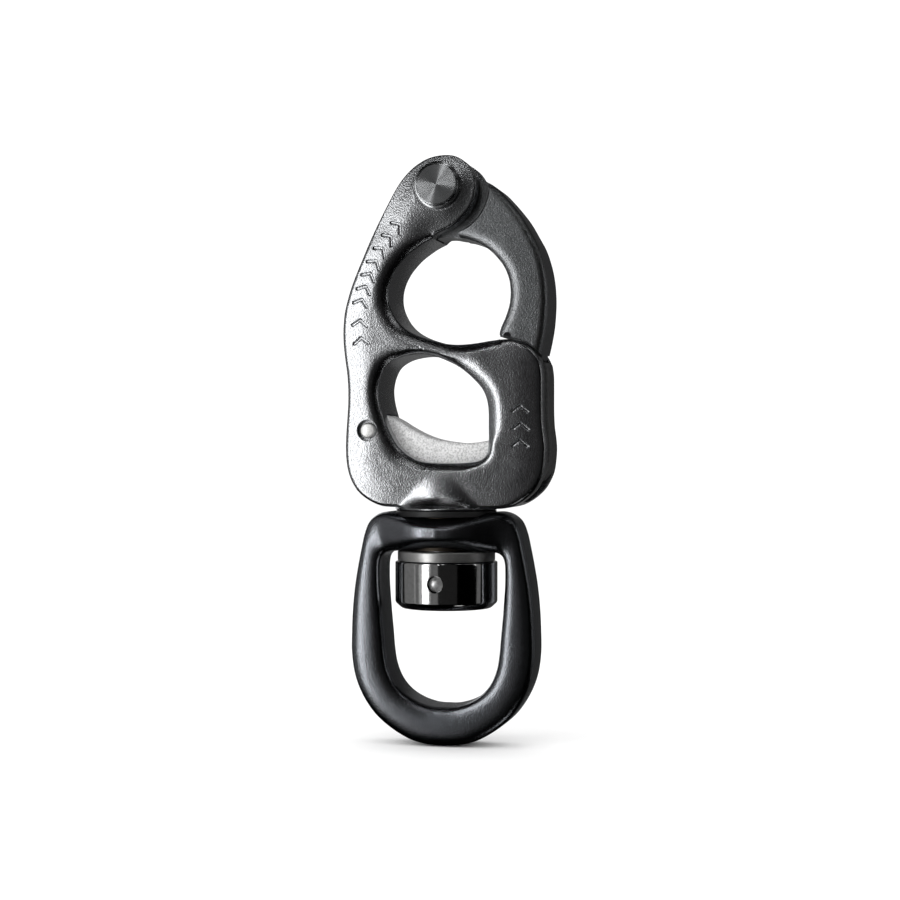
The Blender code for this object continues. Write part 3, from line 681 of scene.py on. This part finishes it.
def make_body():
    """The forged body with its ears, cheeks, boss, swivel shank and stamped marks."""
    base = spaced(spline(BODY_BASE, 6), 0.3)
    eye = spaced(spline(EYE, 6), 0.3)
    window = spaced(spline(WINDOW, 6), 0.3)

    def keep(p):
        return inside(p, base) & ~inside(p, eye) & ~inside(p, window)

    outer_sides = segments(base, lambda p: ~inside(p, eye))
    eye_sides = segments(eye, lambda p: inside(p, base))
    window_sides = segments(window)
    real = [np.vstack(ends) for ends in zip(outer_sides, eye_sides, window_sides)]

    def height(p):
        face = body_face(p, distance(p, *outer_sides), distance(p, *eye_sides), distance(p, *window_sides))
        return face - mark_drop(p), face

    body = pressed("snap_body", [base, eye, window], keep, real, height, mark_cloud())
    combine(body, [lathe("boss", SHANK_PROFILE)], "UNION")
    return crease(combine(body, body_cutters()))


def make_arm():
    """The jaw arm, thinned to a tongue at its root and at its toe."""
    root = arc(PIVOT, ROOT_RADIUS, 260, 80, 40)
    back = spline(ARM_BASE, 6, closed=False)
    outline = dense(np.vstack([back, ARM_TOE[:-1], root]), 0.3)
    eye = spaced(spline(EYE, 6), 0.3)

    def keep(p):
        return inside(p, outline) & ~inside(p, eye)

    outer_sides = segments(outline, lambda p: ~inside(p, eye))
    eye_sides = segments(eye, lambda p: inside(p, outline))
    back_sides = (back[:-1], back[1:])
    real = [np.vstack(ends) for ends in zip(outer_sides, eye_sides)]

    def height(p):
        drop = rounding(distance(p, *outer_sides), 0.25, 0.2)
        drop = np.maximum(drop, rounding(distance(p, *back_sides), 1.25, 1.15))
        drop = np.maximum(drop, rounding(distance(p, *eye_sides), 2.0, 1.1))
        face = ARM_HALF - drop
        return face, face

    arm = pressed("jaw_arm_forging", [outline, eye], keep, real, height)
    cutters = [rod(PIVOT, PIVOT_HOLE_RADIUS + 0.02, -8, 8), rod(BEAK_NOTCH, BEAK_NOTCH_RADIUS, -8, 8)]
    for front in (True, False):
        cutters.append(counterbore(PIVOT, RELIEF_RADIUS, TONGUE_HALF, ARM_HALF, 0.22, front))
    combine(arm, cutters)
    for low, high in ((-8.0, -TONGUE_HALF), (TONGUE_HALF, 8.0)):
        combine(arm, [prism(dense(CHEEK_TOP, 2.0), low, high)])
        combine(arm, [prism(THROAT, low, high)])
    return crease(arm)


def make_trigger():
    """The J-shaped lever, with a pocket and a groove for its spring."""
    root = arc(TRIGGER_PIN, TRIGGER_ROOT_RADIUS, 270, 70, 32)
    top = spline(LEVER_TOP, 5, closed=False)
    outer = spline(LEVER_OUTER[1:], 5, closed=False)
    foot = spline(LEVER_FOOT, 3, closed=False)
    outline = dense(np.vstack([top, LEVER_OUTER[:1], outer, foot, root]), 0.3)

    def keep(p):
        return inside(p, outline)

    sides = segments(outline)
    top_sides = (top[:-1], top[1:])

    def height(p):
        drop = rounding(distance(p, *sides), 0.45, 0.4)
        drop = np.maximum(drop, rounding(distance(p, *top_sides), 0.85, 0.55))
        face = TONGUE_HALF - drop
        return face, face

    trigger = pressed("trigger_lever_plate", [outline], keep, sides, height)
    x, z = TRIGGER_PIN[0], TRIGGER_PIN[1] - SPRING_RADIUS
    low, high = z - SPRING_GROOVE_HALF, z + SPRING_GROOVE_HALF
    groove = [(x, low), (x + 8.0, low), (x + 8.0, high), (x, high)]
    bore = rod(TRIGGER_PIN, TRIGGER_HOLE_RADIUS, -4, 4)
    pocket = rod(TRIGGER_PIN, SPRING_POCKET_RADIUS, SPRING_STEP_Y, 4)
    combine(trigger, [bore, pocket])
    return crease(combine(trigger, [prism(groove, SPRING_STEP_Y, 4)]))


def spring_path():
    """The middle line of the spring: one leg up in the limb, the turns, one leg along the lever."""
    x0, z0 = TRIGGER_PIN
    steps = 110
    path = [(x0 - SPRING_RADIUS, SPRING_LOW_Y, z0 + 4.2), (x0 - SPRING_RADIUS, SPRING_LOW_Y, z0 + 1.6)]
    for i in range(steps + 1):
        a = math.pi + SPRING_TURNS * 2 * math.pi * i / steps
        y = SPRING_LOW_Y + (SPRING_HIGH_Y - SPRING_LOW_Y) * i / steps
        path.append((x0 + SPRING_RADIUS * math.cos(a), y, z0 + SPRING_RADIUS * math.sin(a)))
    for reach in (1.4, 7.6):
        path.append((x0 + reach, SPRING_HIGH_Y, z0 - SPRING_RADIUS))
    return path


def make_spring():
    """The torsion spring as a round wire."""
    path = spring_path()
    curve = bpy.data.curves.new("return_spring_wire", "CURVE")
    curve.dimensions = "3D"
    curve.bevel_depth = SPRING_WIRE_RADIUS * MM
    curve.bevel_resolution = 4
    curve.use_fill_caps = True
    line = curve.splines.new("POLY")
    line.points.add(len(path) - 1)
    for point, where in zip(line.points, path):
        point.co = (*(c * MM for c in where), 1)
    wire = bpy.data.objects.new("return_spring_wire", curve)
    bpy.context.scene.collection.objects.link(wire)
    spring = bpy.data.objects.new("return_spring", bpy.data.meshes.new_from_object(wire))
    bpy.data.objects.remove(wire)
    bpy.context.scene.collection.objects.link(spring)
    return crease(spring, 50)


def bail_section(outer_x, outer_z, inner_x, inner_z, deep, steps):
    """One section of the bail: flat-sided on the legs and the bow, rounder at the hub."""
    hub = step(deep, *HUB_DEPTH)
    across, through = 2 / (2.4 - 0.2 * hub), 2 / (8 - 5.3 * hub)
    centre_x, centre_z = (outer_x + inner_x) / 2, (outer_z + inner_z) / 2
    section = []
    for k in range(steps):
        a = 2 * math.pi * k / steps
        u = math.copysign(abs(math.cos(a)) ** across, math.cos(a))
        v = math.copysign(abs(math.sin(a)) ** through, math.sin(a))
        x = centre_x + u * (outer_x - inner_x) / 2
        z = centre_z + u * (outer_z - inner_z) / 2
        section.append((x * MM, v * deep * MM, z * MM))
    return section


def make_bail():
    """A rounded section carried round the loop, deepest at the hub, then bored and faced for the swivel."""
    half = spline(BAIL_STATIONS, 8, closed=False)
    mirror = half[1:-1][::-1] * np.array([-1, 1, -1, 1, 1])
    loop = np.vstack([half, mirror])
    count, steps = len(loop), 56
    verts, faces = [], []
    for station in loop:
        verts += bail_section(*station, steps)
    for i in range(count):
        j = (i + 1) % count
        for k in range(steps):
            m = (k + 1) % steps
            faces.append((i * steps + k, i * steps + m, j * steps + m, j * steps + k))
    bail = outward(mesh_object("swivel_bail_loop", verts, faces))
    cutters = [
        rod((0, 0), 8.75, HUB_TOP_Z, -40, along_y=False, steps=128),
        rod((0, 0), 8.6, -60, HUB_FOOT_Z, along_y=False, steps=128),
        rod((0, 0), HUB_BORE_RADIUS, -60, -40, along_y=False, steps=96),
    ]
    return crease(combine(bail, cutters))


def make_turned():
    """The turned pieces, as (object, body, slot, CAD node replaced)."""
    pivot_pin = lathe("jaw_pivot_pin", PIVOT_PIN_PROFILE, 160, (PIVOT[0], 0, PIVOT[1]), True)
    trigger_pin = lathe("lever_pin", TRIGGER_PIN_PROFILE, 64, (TRIGGER_PIN[0], 0, TRIGGER_PIN[1]), True)
    lock_pin = lathe("nut_cross_pin", LOCK_PIN_PROFILE, 64, (0, 0, LOCK_PIN_Z), True)
    nut = lathe("swivel_nut_turned", NUT_PROFILE, 192, ring=True)
    combine(nut, [rod((0, LOCK_PIN_Z), LOCK_HOLE_RADIUS, -8.95, 8.95, chamfer=0.4)])
    groove = arc(BALL_CENTRE, GROOVE_RADIUS, 34.8, 145.2, 12)
    race = lathe("bearing_ring_upper", [*RACE_OUTSIDE, *groove, RACE_INSIDE], 160, ring=True)
    washer = lathe("thrust_washer", WASHER_PROFILE, 160, ring=True)
    return [
        (pivot_pin, "shackle_body", "turned_steel", "arm_pivot_pin"),
        (trigger_pin, "shackle_body", "turned_steel", "trigger_pin"),
        (lock_pin, "shackle_body", "turned_steel", "nut_lock_pin"),
        (nut, "shackle_body", "polished_steel", "swivel_nut"),
        (race, "swivel_bail", "polished_steel", "bearing_upper_race"),
        (washer, "shackle_body", "black_acetal", "neck_washer"),
    ]


# ---- Finishes ----------------------------------------------------------------------------------------


class Finish:
    """A Principled material built up from noise in the piece's own coordinates, in millimetres."""

    def __init__(self, name, metallic, anisotropic=0.0):
        self.material = bpy.data.materials.new(name)
        self.material.use_nodes = True
        self.tree = self.material.node_tree
        self.shader = self.tree.nodes["Principled BSDF"]
        self.shader.inputs["Metallic"].default_value = metallic
        self.shader.inputs["Anisotropic"].default_value = anisotropic
        place = self.node("ShaderNodeTexCoord")
        scale = self.node("ShaderNodeMapping")
        scale.inputs["Scale"].default_value = (1000, 1000, 1000)
        self.link(place.outputs["Object"], scale.inputs["Vector"])
        self.place = scale.outputs["Vector"]
        self.normal = None

    def node(self, kind, **settings):
        made = self.tree.nodes.new(kind)
        for key, value in settings.items():
            setattr(made, key, value)
        return made

    def link(self, a, b):
        self.tree.links.new(a, b)

    def noise(self, per_mm, detail=3.0, rough=0.55, stretch=(1, 1, 1)):
        place = self.place
        if stretch != (1, 1, 1):
            mapping = self.node("ShaderNodeMapping")
            mapping.inputs["Scale"].default_value = stretch
            self.link(place, mapping.inputs["Vector"])
            place = mapping.outputs["Vector"]
        made = self.node("ShaderNodeTexNoise")
        made.inputs["Scale"].default_value = per_mm
        made.inputs["Detail"].default_value = detail
        made.inputs["Roughness"].default_value = rough
        self.link(place, made.inputs["Vector"])
        return made.outputs["Fac"]

    def ramp(self, fac, stops):
        made = self.node("ShaderNodeValToRGB")
        made.color_ramp.elements[0].position = stops[0][0]
        made.color_ramp.elements[1].position = stops[-1][0]
        for position, _ in stops[1:-1]:
            made.color_ramp.elements.new(position)
        for element, (_, value) in zip(made.color_ramp.elements, stops):
            element.color = (*value, 1) if isinstance(value, tuple) else (value, value, value, 1)
        self.link(fac, made.inputs["Fac"])
        return made.outputs["Color"]

    def mixed(self, a, b, share, mode="MIX"):
        made = self.node("ShaderNodeMix", data_type="RGBA", blend_type=mode)
        made.inputs[0].default_value = share
        self.link(a, made.inputs[6])
        self.link(b, made.inputs[7])
        return made.outputs[2]

    def colour(self, out):
        self.link(out, self.shader.inputs["Base Color"])

    def roughness(self, out):
        self.link(out, self.shader.inputs["Roughness"])

    def bump(self, fac, height_mm):
        """Adds relief of this height on top of what is there."""
        made = self.node("ShaderNodeBump")
        made.inputs["Distance"].default_value = height_mm * MM
        made.inputs["Strength"].default_value = 1.0
        self.link(fac, made.inputs["Height"])
        if self.normal:
            self.link(self.normal, made.inputs["Normal"])
        self.normal = made.outputs["Normal"]
        self.link(self.normal, self.shader.inputs["Normal"])


def spread(low, high):
    """Ramp stops that run from low to high over the middle of a noise."""
    return [(0.3, low), (0.7, high)]


def shades(tint, darkest):
    """Ramp stops between a darkened tint and the tint."""
    return spread(tuple(darkest * c for c in tint), tint)


def forged_finish(name, tint, rough, grain_height, grain_per_mm, metallic=1.0):
    """Tumbled stainless: fine pitted grain, slow waviness and a mottled satin."""
    made = Finish(name, metallic)
    grain = made.noise(grain_per_mm, 2.0, 0.6)
    mottle = made.noise(0.9, 4.0, 0.6)
    wave = made.noise(0.22, 2.0, 0.5)
    low, high = rough
    speck = made.ramp(grain, [(0.3, 0.6), (0.45, 0.85), (0.6, 1.0)])
    tone = made.ramp(mottle, shades(tint, 0.93))
    made.colour(made.mixed(tone, speck, 0.8, "MULTIPLY"))
    slow = made.ramp(mottle, spread(low, high))
    fast = made.ramp(grain, spread(high, low))
    made.roughness(made.mixed(slow, fast, 0.6))
    made.bump(wave, 0.05)
    made.bump(mottle, 0.005)
    made.bump(grain, grain_height)
    return made.material


def lever_finish():
    """Bright blasted steel on the lever's faces, with painted shade (near-black) where its outer side sits
    in the slot.
    """
    made = Finish("blasted_steel", 0.6)
    grain = made.noise(3.4, 2.0, 0.6)
    apart = made.node("ShaderNodeSeparateXYZ")
    made.link(made.place, apart.inputs["Vector"])
    # Past X 12.5 to 15.5 mm the lever's outer side, which sits in the slot, is painted near-black as shade.
    side = made.node("ShaderNodeMapRange", interpolation_type="SMOOTHSTEP")
    made.link(apart.outputs["X"], side.inputs["Value"])
    side.inputs["From Min"].default_value = 12.5
    side.inputs["From Max"].default_value = 15.5
    bright = made.ramp(grain, [(0.3, 0.6), (0.6, 1.0)])
    painted_slot_shade = made.ramp(grain, spread(0.04, 0.07))
    tone = made.node("ShaderNodeMix", data_type="RGBA")
    made.link(side.outputs["Result"], tone.inputs[0])
    made.link(bright, tone.inputs[6])
    made.link(painted_slot_shade, tone.inputs[7])
    made.colour(tone.outputs[2])
    made.roughness(made.ramp(made.noise(1.2, 3.0), spread(0.65, 0.8)))
    made.bump(grain, 0.06)
    return made.material


def turned_finish(name, tint, rough, axis_z=False, metallic=1.0):
    """Turned steel: faint rings round the axis and a little mottle."""
    made = Finish(name, metallic)
    mottle = made.noise(1.3, 4.0, 0.6)
    fine = made.noise(9.0, 2.0, 0.6, (1, 1, 0.15) if axis_z else (1, 1, 1))
    made.colour(made.ramp(mottle, shades(tint, 0.85)))
    made.roughness(made.ramp(made.noise(2.2, 3.0), spread(*rough)))
    made.bump(fine, 0.0015)
    return made.material


def faced_finish(name, tint, rough):
    """A face turned on a lathe, whose fine rings draw the light into two opposed fans."""
    made = Finish(name, 1.0, 1.0)
    made.shader.inputs["Anisotropic Rotation"].default_value = 0.25
    tangent = made.node("ShaderNodeTangent", direction_type="RADIAL", axis="Y")
    made.link(tangent.outputs["Tangent"], made.shader.inputs["Tangent"])
    mottle = made.noise(1.6, 4.0, 0.6)
    made.colour(made.ramp(mottle, shades(tint, 0.85)))
    made.roughness(made.ramp(mottle, spread(*rough)))
    made.bump(made.noise(6.0, 2.0), 0.001)
    return made.material


def plastic_finish(name, tint):
    """Moulded plastic with a faint mottle."""
    made = Finish(name, 0.0)
    mottle = made.noise(1.5, 3.0)
    made.colour(made.ramp(mottle, shades(tint, 0.7)))
    made.roughness(made.ramp(made.noise(3.0, 3.0), spread(0.38, 0.55)))
    made.bump(made.noise(8.0, 3.0), 0.004)
    return made.material


def coat(obj, material):
    """Gives a piece one material."""
    obj.data.materials.clear()
    obj.data.materials.append(material)


def fit(obj, material, body, node):
    """Coats a piece and fixes it to its body in place of the CAD node."""
    coat(obj, material)
    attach(obj, body)
    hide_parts(node)


def dress():
    """Makes every piece, gives it its finish and fixes it to its body."""
    forged = forged_finish("tumbled_steel", (0.47, 0.478, 0.49), (0.17, 0.25), 0.038, 4.0)
    arm_steel = forged_finish("tumbled_steel_coarse", (0.34, 0.35, 0.36), (0.28, 0.38), 0.06, 3.6)
    bail_steel = forged_finish("tumbled_steel_fine", (0.23, 0.24, 0.258), (0.18, 0.27), 0.035, 4.2)
    lever_steel = lever_finish()
    polished = turned_finish("polished_steel", (0.55, 0.55, 0.55), (0.07, 0.13), True)
    satin = turned_finish("satin_ring_steel", (0.55, 0.55, 0.54), (0.3, 0.42), True, 0.96)
    peened = forged_finish("peened_steel", (0.95, 0.95, 0.93), (0.35, 0.5), 0.08, 2.2, 0.6)
    driven = forged_finish("driven_pin_steel", (0.75, 0.75, 0.75), (0.3, 0.45), 0.08, 2.2, 0.85)
    faced = faced_finish("faced_steel", (0.5, 0.51, 0.52), (0.215, 0.23))
    wire = turned_finish("spring_wire", (0.45, 0.45, 0.47), (0.25, 0.35))
    black = plastic_finish("black_acetal", (0.007, 0.007, 0.0075))
    # The bush's bronze is set near-black: painted shade for the gap above the race where it shows.
    bronze_painted_shade = turned_finish("bearing_bronze", (0.06, 0.05, 0.04), (0.4, 0.55), True)
    fit(make_body(), forged, "shackle_body", "body")
    fit(make_arm(), arm_steel, "jaw_arm", "arm")
    fit(make_bail(), bail_steel, "swivel_bail", "bail")
    fit(make_trigger(), lever_steel, "trigger_lever", "trigger")
    fit(make_spring(), wire, "trigger_lever", "trigger_spring")
    finishes = {
        "arm_pivot_pin": faced, "trigger_pin": peened, "nut_lock_pin": driven,
        "swivel_nut": polished, "bearing_upper_race": satin, "neck_washer": black,
    }
    for obj, body, slot, node in make_turned():
        fit(crease(obj, 28), finishes[node], body, node)
    carried = {"bearing_cage": black, "bail_bush": bronze_painted_shade, "bearing_lower_race": polished}
    for node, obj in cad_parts.items():
        if node.startswith("bearing_ball") or node in carried:
            coat(obj, carried.get(node, polished))


# ---- Stage -------------------------------------------------------------------------------------------


def make_camera():
    """A level camera, a little to the right of straight in front."""
    a = math.radians(CAMERA_AZIMUTH_DEG)
    target = Vector((TARGET_RIGHT * math.cos(a), TARGET_RIGHT * math.sin(a), TARGET_Z))
    data = bpy.data.cameras.new("camera")
    data.sensor_width = SENSOR_WIDTH
    data.lens = CAMERA_LENS
    data.clip_start = 0.01
    camera = bpy.data.objects.new("camera", data)
    camera.location = (target + Vector((math.sin(a), -math.cos(a), 0)) * CAMERA_DISTANCE) * MM
    camera.rotation_euler = (math.radians(90), 0, a)
    bpy.context.scene.collection.objects.link(camera)
    bpy.context.scene.camera = camera


def softbox(name, azimuth, z, away, width, height, radiance, aim_z):
    """A soft light at this height that faces the swivel axis."""
    data = bpy.data.lights.new(name, "AREA")
    data.shape = "RECTANGLE"
    data.size = width * MM
    data.size_y = height * MM
    data.energy = radiance * math.pi * data.size * data.size_y
    light = bpy.data.objects.new(name, data)
    a = math.radians(azimuth)
    place = Vector((math.sin(a) * away, -math.cos(a) * away, z))
    light.location = place * MM
    light.rotation_euler = (place - Vector((0, 0, aim_z))).to_track_quat("Z", "Y").to_euler()
    light.visible_camera = False
    bpy.context.scene.collection.objects.link(light)


def make_world():
    """A white surround that fills shadows but isn't mirrored in the steel."""
    scene = bpy.context.scene
    scene.view_settings.view_transform = "Standard"
    scene.world = bpy.data.worlds.new("studio")
    scene.world.use_nodes = True
    background = scene.world.node_tree.nodes["Background"]
    background.inputs["Color"].default_value = (1, 1, 1, 1)
    background.inputs["Strength"].default_value = WORLD_STRENGTH
    scene.world.cycles_visibility.glossy = False


def make_floor():
    """A pale floor just under the part."""
    bm = bmesh.new()
    bmesh.ops.create_circle(bm, cap_ends=True, segments=96, radius=FLOOR_RADIUS * MM)
    mesh = bpy.data.meshes.new("floor")
    bm.to_mesh(mesh)
    bm.free()
    floor = bpy.data.objects.new("floor", mesh)
    floor.location = (0, 0, CAD_BOX[0][2] - FLOOR_GAP * MM)
    bpy.context.scene.collection.objects.link(floor)
    floor.visible_glossy = False
    floor.visible_shadow = False
    paint = Finish("floor_paint", 0.0)
    paint.colour(paint.ramp(paint.noise(0.02, 2.0), spread(0.9, 0.92)))
    paint.shader.inputs["Roughness"].default_value = 1.0
    paint.shader.inputs["Specular IOR Level"].default_value = 0.0
    floor.data.materials.append(paint.material)


dress()
make_camera()
make_world()
for light in LIGHTS:
    softbox(*light)
make_floor()
